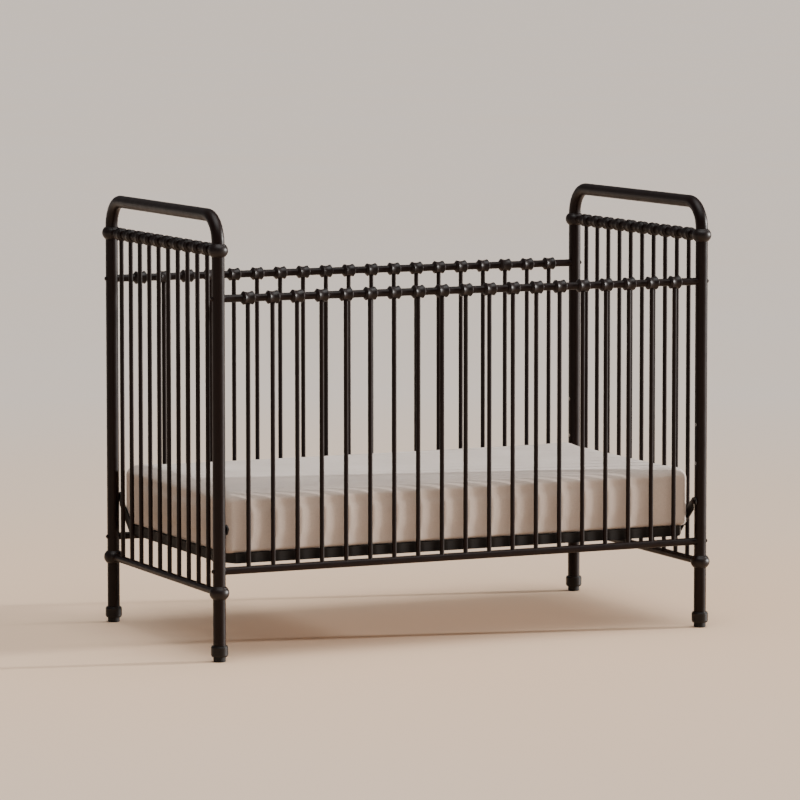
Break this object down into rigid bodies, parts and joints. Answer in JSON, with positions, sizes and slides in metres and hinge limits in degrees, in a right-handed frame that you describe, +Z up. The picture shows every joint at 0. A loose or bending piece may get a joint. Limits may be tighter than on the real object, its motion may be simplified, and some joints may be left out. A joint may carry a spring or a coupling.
{
  "type": "baby crib",
  "caption": "Tubular metal baby crib with spindle sides, arched ends, cast ball joints and a mattress on a height-adjustable support.",
  "frame": {"origin": "on the floor, at the middle of the crib's footprint", "axes": "+X along the crib's length to the right as seen from the front, +Y to the rear, +Z up"},
  "size_m": [1.392, 0.7726, 1.116],
  "materials": {
    "frame_metal": "satin",
    "cast_joint": "satin",
    "fastener": "satin",
    "plain_steel": "satin",
    "support_metal": "satin",
    "collar_plastic": "satin",
    "glide_rubber": "matte",
    "mattress_fabric": "matte",
    "mattress_filling": "matte"
  },
  "bodies": {
    "frame": {"arch_left": "frame_metal", "arch_right": "frame_metal", "arch_sleeves": "plain_steel", "bottom_rail_front": "frame_metal", "bottom_rail_rear": "frame_metal", "foot_collar_front_left": "collar_plastic", "foot_collar_front_right": "collar_plastic", "foot_collar_rear_left": "collar_plastic", "foot_collar_rear_right": "collar_plastic", "foot_glide_front_left": "glide_rubber", "foot_glide_front_right": "glide_rubber", "foot_glide_rear_left": "glide_rubber", "foot_glide_rear_right": "glide_rubber", "hanger_studs": "fastener", "knuckles_front": "cast_joint", "knuckles_left": "cast_joint", "knuckles_rear": "cast_joint", "knuckles_right": "cast_joint", "level_sockets": "plain_steel", "lower_ball_front_left": "cast_joint", "lower_ball_front_right": "cast_joint", "lower_ball_rear_left": "cast_joint", "lower_ball_rear_right": "cast_joint", "lower_crossbar_left": "frame_metal", "lower_crossbar_right": "frame_metal", "post_front_left": "frame_metal", "post_front_right": "frame_metal", "post_rear_left": "frame_metal", "post_rear_right": "frame_metal", "rail_bolts": "fastener", "rail_end_inserts": "plain_steel", "spindles_front": "frame_metal", "spindles_left": "frame_metal", "spindles_rear": "frame_metal", "spindles_right": "frame_metal", "top_rail_front": "frame_metal", "top_rail_rear": "frame_metal", "upper_ball_front_left": "cast_joint", "upper_ball_front_right": "cast_joint", "upper_ball_rear_left": "cast_joint", "upper_ball_rear_right": "cast_joint", "upper_crossbar_left": "frame_metal", "upper_crossbar_right": "frame_metal"},
    "support": {"hanger_bolts": "fastener", "hanger_front_left": "support_metal", "hanger_front_right": "support_metal", "hanger_nuts": "plain_steel", "hanger_rear_left": "support_metal", "hanger_rear_right": "support_metal", "support_corners": "support_metal", "support_end_left": "support_metal", "support_end_right": "support_metal", "support_rail_front": "support_metal", "support_rail_rear": "support_metal", "support_slats": "support_metal", "support_spine": "support_metal"},
    "mattress": {"mattress_border": "mattress_filling", "mattress_cover": "mattress_fabric", "mattress_pad_bottom": "mattress_filling", "mattress_pad_top": "mattress_filling"}
  },
  "joints": [
    {"name": "support_height", "type": "slide", "parent": "frame", "child": "support", "axis": [0, 0, 1], "range_m": [0, 0.2]},
    {"name": "mattress_lift", "type": "slide", "parent": "support", "child": "mattress", "axis": [0, 0, 1], "range_m": [0, 0.9]}
  ]
}
